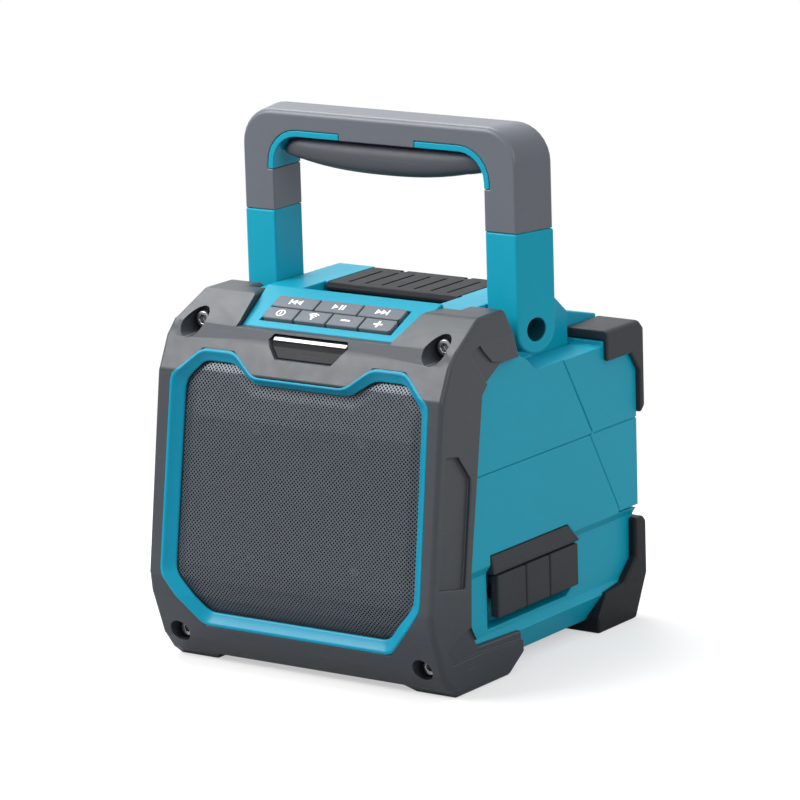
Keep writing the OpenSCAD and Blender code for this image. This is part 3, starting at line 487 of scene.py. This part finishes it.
paint = finish("painted_mesh", srgb(76, 82, 89), tone=0.1, rough=0.4, grain=0.000008,
               Metallic=0.35)
join(solid("grille_sheet", *punched_sheet(), paint), "body", "mesh_metal", "grille")

# Trim: a bevelled teal band, moulded on its own and pressed into the opening of the front frame.
# A thin rounded lip covers the frame's edge and its face slopes back to the mesh.

# the band's profile: inset from the outline and depth behind the front face
LIP = np.array([[-0.2, 5.9], [-0.3, 1.2], [-0.95, 0.25], [-0.9, -0.05], [-0.6, -0.2], [0.3, -0.2],
                [0.8, 0.0], [1.2, 0.5], [5.2, 4.1], [5.9, 4.6], [6.2, 5.1], [6.2, 5.9]])
TRIM_CORNER, CORNER_STEPS, CORNER_SHARE = 4.5, 6, 0.45


def rounded(outline, cut):
    """An outline whose corners become quadratic curves that start cut mm before each corner."""

    def towards(shift):
        arm = np.roll(outline, shift, 0) - outline
        return outline + arm * np.minimum(CORNER_SHARE, cut / np.linalg.norm(arm, axis=1))[:, None]

    t = np.linspace(0, 1, CORNER_STEPS)[None, :, None]
    start, end = towards(1)[:, None] * (1 - t) ** 2, towards(-1)[:, None] * t * t
    return (start + outline[:, None] * 2 * t * (1 - t) + end).reshape(-1, 2)


def tube(rings):
    """Faces of a closed tube through equal rings: ring i, point j to ring i + 1, point j + 1."""
    rows, cols = rings.shape[:2]
    i, j = np.meshgrid(np.arange(rows), np.arange(cols), indexing="ij")
    k, m = (i + 1) % rows, (j + 1) % cols
    corners = [i * cols + j, i * cols + m, k * cols + m, k * cols + j]
    return np.stack(corners, -1).reshape(-1, 4)


def trim_band():
    """The lip profile (inset s, depth d) drawn along the trim outline: ring i is the rounded
    outline at inset s[i], standing d[i] behind the front face."""
    rings = []
    for s, d in LIP:
        ring = rounded(trim_outline(s), TRIM_CORNER)
        rings.append(np.stack([ring[:, 0], front_y(ring[:, 1]) + d, ring[:, 1]], 1))
    rings = np.array(rings)
    return rings.reshape(-1, 3), tube(rings)


deep_teal = finish("trim_plastic", srgb(3, 134, 164), rough=0.34, Specular_IOR_Level=0.2)
join(solid("trim_band", *trim_band(), deep_teal, smooth=True), "body", "teal_plastic", "trim_ring")

# Front frame: one thick bumper moulding in charcoal elastomer, with shoulders, side arms and
# front feet. Its outer edges are widely rounded. It slides over the housing and four screws
# hold it.

# radii of its edges, and the places in x, y and z that tell them apart
R_PROFILE, R_PROFILE_TOP, R_FACE, R_SHOULDER = 4.0, 2.2, 2.4, 1.8
R_ARM, R_OPENING, R_PLAIN = 1.6, 0.6, 1.0
PROFILE_X, ARM_X, OPENING_X = 86, 93, 92.5
FACE_Y, ARM_Y, OPENING_Y = -50, -45, -100
SHOULDER_Z, OPENING_Z = 186, (8, 190)
SHOULDER_STEP, FOOT_STEP = (55, 176, 196), (68, 26)
LEVEL = 0.95


def frame_edges(middle, along):
    """The outer profile has the widest radius, less at its top. The breaks that run across the
    front face, the shoulders, the arms and the openings and wells have their own, and the two
    flush steps at the shoulders and feet stay sharp."""
    x, y, z = np.abs(middle[:, 0]), middle[:, 1], middle[:, 2]
    across = np.abs(along[:, 0])
    profile = (x > PROFILE_X) & (y < ARM_Y)
    r = np.full(len(x), R_PLAIN)
    r[(across > LEVEL) & (y < FACE_Y)] = R_FACE
    r[z > SHOULDER_Z] = R_SHOULDER
    inner, low, high = SHOULDER_STEP
    r[(across > LEVEL) & (x > inner) & (z > low) & (z < high)] = 0.0
    inner, high = FOOT_STEP
    r[(across > LEVEL) & (x > inner) & (z < high)] = 0.0
    r[profile] = R_PROFILE
    r[profile & (z > SHOULDER_Z)] = R_PROFILE_TOP
    r[(x > ARM_X) & (y >= ARM_Y)] = R_ARM
    opening = (x < OPENING_X) & (y > OPENING_Y) & (z > OPENING_Z[0]) & (z < OPENING_Z[1])
    r[opening & (across < LEVEL)] = R_OPENING
    return r


bumper = finish("bumper_elastomer", srgb(49, 54, 60), rough=0.42, Specular_IOR_Level=0.42)
moulded("front_bezel", bumper, frame_edges, segments=4, levels=(174, 184))

# Front screws: plated socket-head screws that hold the front frame to the housing.
# They are sunk in wells in the shoulders and above the front feet.
screw_steel = finish("screw_steel", srgb(150, 152, 157), tone=0.05, rough=0.26, grain=SMOOTH,
                     Metallic=1.0)
moulded("front_screws", screw_steel, radius=0.5)

# Light window: a dark plastic plate pressed into the front frame.
# A white light bar is let in along its upper edge.
window = finish("window_plastic", srgb(14, 16, 19), rough=0.38, spread=0.06, grain=0.000002,
                Specular_IOR_Level=0.12)
moulded("light_window", window, radius=0.5)
light = finish("light_plastic", srgb(240, 240, 240), rough=0.3, grain=SMOOTH,
               Emission_Strength=0.25)
moulded("light_strip", light, radius=0.25)

# Key panel: the sloping teal plate over the keypad board, snapped in behind the front frame.
# A skirt closes the slit below its rear wall. The seven soft keys stand a little proud of it,
# and their white symbols are moulded through.
panel_teal = finish("panel_plastic", srgb(8, 140, 165), rough=0.45, Specular_IOR_Level=0.15)
moulded("control_panel", panel_teal, radius=0.7)
# lowest and highest corner of the skirt, middle and slope of the panel, then the key field, how far
# the keys stand above the panel, and the symbols below and above the keys' tops
SKIRT = np.array([[-57.2, -39.0, 183.0], [57.2, -37.55, 185.4]])
PANEL, RISE, RUN = np.array([0, -54.5, 195.2]), 15.6, 34
SLOPE = math.atan2(RISE, RUN)
KEYS_W, KEYS_L, KEYS_Y, KEY_TOP = 86.0, 21.2, -1.7, 1.6
SUNK, PROUD = 0.1, 0.12


def skirt():
    """The eight corners and six sides of the skirt between its lowest and highest corner."""
    corner = np.array([[0, 0, 0], [1, 0, 0], [1, 1, 0], [0, 1, 0],
                       [0, 0, 1], [1, 0, 1], [1, 1, 1], [0, 1, 1]])
    sides = [[0, 3, 2, 1], [4, 5, 6, 7], [0, 1, 5, 4], [1, 2, 6, 5], [2, 3, 7, 6], [3, 0, 4, 7]]
    return SKIRT[0] + corner * (SKIRT[1] - SKIRT[0]), sides


def bar(x0, y0, x1, y1):
    """A flat rectangle between two corners."""
    return np.array([[x0, y0], [x1, y0], [x1, y1], [x0, y1]])


def arch(r, w, a0, a1, cy=0.0):
    """Flat band of radius r and width w about (0, cy), from angle a0 to a1 in degrees."""
    a = np.radians(np.linspace(a0, a1, 25))
    edge = np.stack([np.cos(a), np.sin(a)], 1)
    return np.concatenate([edge * (r + w / 2), edge[::-1] * (r - w / 2)]) + (0, cy)


def key_edges(middle, along):
    """Upright edges at the two ends of the key field 2.5 mm, the others 0.7 mm."""
    upright = np.abs(along[:, 2] * math.cos(SLOPE) - along[:, 1] * math.sin(SLOPE)) > 0.9
    return np.where(upright & (np.abs(middle[:, 0]) > KEYS_W / 2 - 1), 2.5, 0.7)


def symbol(name, shapes, x, y):
    """Flat outlines, in mm about a key's middle (x, y) on the panel, that stand PROUD of the
    key's top and end SUNK below it."""
    points, faces, base = [], [], 0
    for shape in shapes:
        n = len(shape)
        for top in (KEY_TOP - SUNK, KEY_TOP + PROUD):
            u, v, w = shape[:, 0] + x, shape[:, 1] + y, np.full(n, top)
            points.append(PANEL + np.stack([u, v * math.cos(SLOPE) - w * math.sin(SLOPE),
                                            v * math.sin(SLOPE) + w * math.cos(SLOPE)], 1))
        ring = np.arange(n)
        after = (ring + 1) % n
        faces += [base + ring[::-1], base + n + ring]
        faces += list(base + np.stack([ring, after, after + n, ring + n], 1))
        base += 2 * n
    piece = solid("symbol_" + name, np.concatenate(points), faces, white)
    join(piece, "key_" + name, "light_plastic")


join(solid("panel_skirt", *skirt(), panel_teal), "body", "teal_plastic")
key_rubber = finish("key_plastic", srgb(90, 97, 105), rough=0.5, Specular_IOR_Level=0.3)
white = finish("symbol_white", srgb(238, 238, 238), tone=0.03, rough=0.5)
arrow = np.array([[0, -2.1], [3.6, 0], [0, 2.1]])
skip = [arrow - (4.0, 0), arrow - (0.4, 0), bar(3.2, -2.1, 4.1, 2.1)]
pause = [bar(0.7, -2.1, 1.8, 2.1), bar(2.7, -2.1, 3.8, 2.1)]
dash = bar(-2.9, -0.65, 2.9, 0.65)
waves = [arch(r, 0.75, 50, 130, -2.3) for r in (1.9, 3.4, 4.9)] + [arch(0.4, 0.79, 0, 359, -2.0)]
upper = (("previous", [(s * (-1, 1))[::-1] for s in skip]),
         ("play", [arrow - (3.9, 0)] + pause), ("next", skip))
lower = (("power", [arch(2.5, 0.7, -90, 90), arch(2.5, 0.7, 90, 270), bar(-0.4, -1.3, 0.4, 1.3)]),
         ("wireless", waves), ("minus", [dash]),
         ("plus", [dash, bar(-0.65, 0.65, 0.65, 2.7), bar(-0.65, -2.7, 0.65, -0.65)]))
for rank, names in ((1, upper), (-1, lower)):
    for i, (name, shapes) in enumerate(names):
        moulded("button_" + name, key_rubber, key_edges)
        symbol(name, shapes, KEYS_W * ((i + 0.5) / len(names) - 0.5), KEYS_Y + rank * KEYS_L / 4)

# Latch: a dark ribbed plastic lever on the deck, hinged on a steel pin at its rear.
# The fingers lift it from the pocket in front of it.
latch_plastic = finish("latch_plastic", srgb(26, 28, 32), rough=0.52, Specular_IOR_Level=0.12)
moulded("door_latch", latch_plastic, radius=0.8)

# Battery door: the teal rear cover behind the slanting seam, hinged on a steel pin at its lower
# edge. Two dark rubber corner guards are moulded on it.
GUARD_X, GUARD_Z = 90, 165


def guard_edges(middle, along):
    """The edge between the top and the outer side 3 mm, the others 1.2 mm."""
    top = (np.abs(middle[:, 0]) > GUARD_X) & (middle[:, 2] > GUARD_Z)
    return np.where(top & (np.abs(along[:, 1]) > 0.6), 3.0, 1.2)


moulded("battery_door", teal, radius=0.8, segments=2)
cover_rubber = finish("cover_rubber", srgb(50, 53, 57), rough=0.52, Specular_IOR_Level=0.2)
for node in ("rear_guard_right", "rear_guard_left"):
    moulded(node, cover_rubber, guard_edges, segments=2)

# Rear feet: dark rubber corners under the rear edge of the housing.
# They are pressed over its lower corners, and the speaker stands on them.
foot_rubber = finish("dark_rubber", srgb(24, 27, 30), rough=0.46, Specular_IOR_Level=0.2)
for node in ("rear_foot_right", "rear_foot_left"):
    moulded(node, foot_rubber, radius=1.6)

# Port cover: a fixed rubber strip in the port recess of the housing.
# Three flaps hang from it over the sockets.
moulded("port_bar", cover_rubber, radius=1.2)
for node in ("flap_aux", "flap_usb", "flap_power"):
    moulded(node, cover_rubber, radius=1.0)

# Handle: two teal legs on steel pivots, with accents that curl round the inner corners. A charcoal
# cover with rounded corners closes its top, and a soft grip with a full belly fills the hand
# opening. Painted shade darkens the legs' colour inside the pivot bores.

# the pivot and its bores for the painted shade and its colour, in metres, and places that tell the
# edges apart, in mm
PIVOT_Z, BORE, BORE_SHADE = 0.185, (0.0068, 0.0062), srgb(2, 30, 38)
ACCENT_Z, JOINT_Z, CORNER_Z, TOP_Z = 245, 241, 276, 285.5
OUTER_X, OUTER_Y = 80, 12.5


def leg_edges(middle, along):
    """The accents 0.5 mm, the legs 1.2 mm."""
    return np.where(middle[:, 2] > ACCENT_Z, 0.5, 1.2)


def cover_edges(middle, along):
    """Front and rear edges along the top 4.5 mm and down the legs 1.2 mm, inner ones 0.8 mm, the
    joint to the legs 0.4 mm."""
    x, y, z = np.abs(middle[:, 0]), np.abs(middle[:, 1]), middle[:, 2]
    outer = (y > OUTER_Y) & ((x > OUTER_X) | (z > TOP_Z))
    r = np.where(outer, np.where(z > CORNER_Z, 4.5, 1.2), 0.8)
    return np.where(z < JOINT_Z, 0.4, r)


leg_teal = finish("leg_plastic", TEAL, rough=0.42, Specular_IOR_Level=0.22)
# painted shade: the legs' colour turns dark teal inside the pivot bores, where shade falls
shader = next(n for n in leg_teal.node_tree.nodes if n.type == "BSDF_PRINCIPLED")
wire = Wire(leg_teal.node_tree, shader.inputs["Base Color"].links[0].from_socket)
place = wire.add("ShaderNodeVectorMath", {"operation": "MULTIPLY_ADD"}, {
    0: wire.add("ShaderNodeTexCoord", out="Object"), 1: (0, 1, 1), 2: (0, 0, -PIVOT_Z)})
radius = wire.add("ShaderNodeVectorMath", {"operation": "LENGTH"}, {0: place}, out=1)
painted_bore_shade = wire.add("ShaderNodeMapRange", inputs={"Value": radius, "From Min": BORE[0],
                                              "From Max": BORE[1]})
wire.mix(painted_bore_shade, wire, BORE_SHADE).to(shader.inputs["Base Color"])
moulded("handle_frame", leg_teal, leg_edges)
cover = finish("handle_cover", srgb(92, 96, 104), rough=0.38, Specular_IOR_Level=0.42)
moulded("handle_shell", cover, cover_edges, segments=5)

# the grip's half length and depth, the accent arc above it and the line of its belly
GRIP_X, GRIP_CLOSE, GRIP_Y, SQUARE = 68.4, 68.6, 11.6, 0.72
ARC_X, ARC_Z, ARC_R = 54, 265.3, 15.5
BELLY_Z, BELLY_RISE, END_Z, END_RISE = 262.5, 4.8, 267.3, 2.9
RINGS, SIDES = 81, 40


def grip_sweep():
    """Rounded sections across the bar: at x the section is a superellipse between the belly line
    below and the accent arc above, GRIP_Y mm deep to each side, and it closes at both ends."""
    x = GRIP_X * np.sin(np.linspace(-1, 1, RINGS) * math.pi / 2)
    a = np.abs(x)
    past = np.maximum(a - ARC_X, 0)
    top = ARC_Z + np.sqrt(np.maximum(ARC_R ** 2 - past ** 2, 0))
    belly = np.where(a < ARC_X, BELLY_Z + BELLY_RISE * (a / ARC_X) ** 2.4,
                     END_Z + END_RISE * (past / (GRIP_X - ARC_X)) ** 1.5)
    wide = GRIP_Y * np.sqrt(np.maximum(1 - (a / GRIP_CLOSE) ** 8, 0))
    angle = np.linspace(0, 2 * math.pi, SIDES, endpoint=False)
    c, s = (np.sign(f) * np.abs(f) ** SQUARE for f in (np.cos(angle), np.sin(angle)))
    middle, half = (top + belly)[:, None] / 2, (top - belly)[:, None] / 2
    rings = np.stack([np.broadcast_to(x[:, None], (RINGS, SIDES)), wide[:, None] * c,
                      middle + half * s], -1)
    ends = [np.arange(SIDES)[::-1], np.arange(SIDES) + (RINGS - 1) * SIDES]
    return rings.reshape(-1, 3), list(tube(rings)[:-SIDES]) + ends


soft = finish("soft_grip", srgb(62, 65, 71), tone=0.1, rough=0.55, grain=0.00004, pitch=0.0006,
              Specular_IOR_Level=0.4)
grip = solid("grip_body", *grip_sweep(), soft, smooth=True)
join(grip, "handle", slot_of("handle_grip"), "handle_grip")
black_steel = finish("blackened_steel", srgb(18, 19, 21), rough=0.5, Specular_IOR_Level=0.12)
for node in ("handle_pin_right", "handle_pin_left"):
    moulded(node, black_steel, radius=0.4)

# Studio: pale paper floor that runs into a white surround. A large soft light stands at the front
# left, one above the rear left and a weaker one at the right. The floor takes the shadow near the
# speaker.

# the paper and the radii over which it fades out, the rays that show the surround, the paper's own
# lift and the light from afar, and the light of the dome from the horizon up
PAPER, FADE = (0.45, 0.45, 0.45, 1), (0.2, 0.6)
RAYS = ("Is Camera Ray", "Is Glossy Ray", "Is Transmission Ray")
WHITE, LIFT, FAR_LIGHT = (1, 1, 1, 1), 0.5, 0.25
DOME_Z, DOME_LIGHT = (-0.1, 0.9), (0.3, 0.9)


def seen_by(wire):
    """1 for the rays that show the pale surround, 0 for those that light the speaker."""
    return sum(wire.add("ShaderNodeLightPath", out=ray) for ray in RAYS)


def softbox(name, place, aim, size, watts):
    """A square studio light of that size in metres, at place and turned to aim."""
    lamp = bpy.data.objects.new(name, bpy.data.lights.new(name, "AREA"))
    bpy.context.scene.collection.objects.link(lamp)
    lamp.data.size, lamp.data.energy = size, watts
    lamp.location = place
    lamp.rotation_mode = "QUATERNION"
    lamp.rotation_quaternion = (Vector(aim) - Vector(place)).to_track_quat("-Z", "Y")


bpy.ops.mesh.primitive_plane_add(size=40, location=(0, 0, 0))
floor = bpy.context.object
floor.name = "floor"
paper, shader, wire = blank("paper")
shader.inputs["Base Color"].default_value = PAPER
shader.inputs["Roughness"].default_value = 0.9
shader.inputs["Emission Color"].default_value = WHITE
(wire.add("ShaderNodeLightPath", out=RAYS[0]) * LIFT).to(shader.inputs["Emission Strength"])
place = wire.add("ShaderNodeTexCoord", out="Object")
radius = wire.add("ShaderNodeVectorMath", {"operation": "LENGTH"}, {0: place}, out=1)
far = wire.add("ShaderNodeMapRange", {"interpolation_type": "SMOOTHSTEP"},
               {"Value": radius, "From Min": FADE[0], "From Max": FADE[1]})
strength = seen_by(wire) * (1 - FAR_LIGHT) + FAR_LIGHT
glow = wire.add("ShaderNodeEmission", inputs={"Strength": strength})
near = Wire(wire.tree, shader.outputs[0])
both = wire.add("ShaderNodeMixShader", inputs={0: far, 1: near, 2: glow})
both.to(next(n for n in wire.tree.nodes if n.type == "OUTPUT_MATERIAL").inputs[0])
floor.data.materials.append(paper)
world = bpy.data.worlds.new("studio")
bpy.context.scene.world = world
world.use_nodes = True
sky = world.node_tree.nodes["Background"]
sky.inputs[0].default_value = WHITE
wire = Wire(world.node_tree)
seen = seen_by(wire)
view = wire.add("ShaderNodeTexCoord", out="Generated")
tall = wire.add("ShaderNodeSeparateXYZ", inputs={0: view}, out="Z")
dome = wire.add("ShaderNodeMapRange", inputs={
    "Value": tall, "From Min": DOME_Z[0], "From Max": DOME_Z[1],
    "To Min": DOME_LIGHT[0], "To Max": DOME_LIGHT[1]})
(seen + (1 - seen) * dome).to(sky.inputs[1])
softbox("key", (-1.2, -1.5, 1.45), (0, 0, 0.12), 1.1, 50)
softbox("top", (-0.75, 0.45, 1.6), (0, 0, 0.1), 1.2, 28)
softbox("side", (1.9, -0.5, 1.0), (0, 0, 0.16), 1.0, 12)
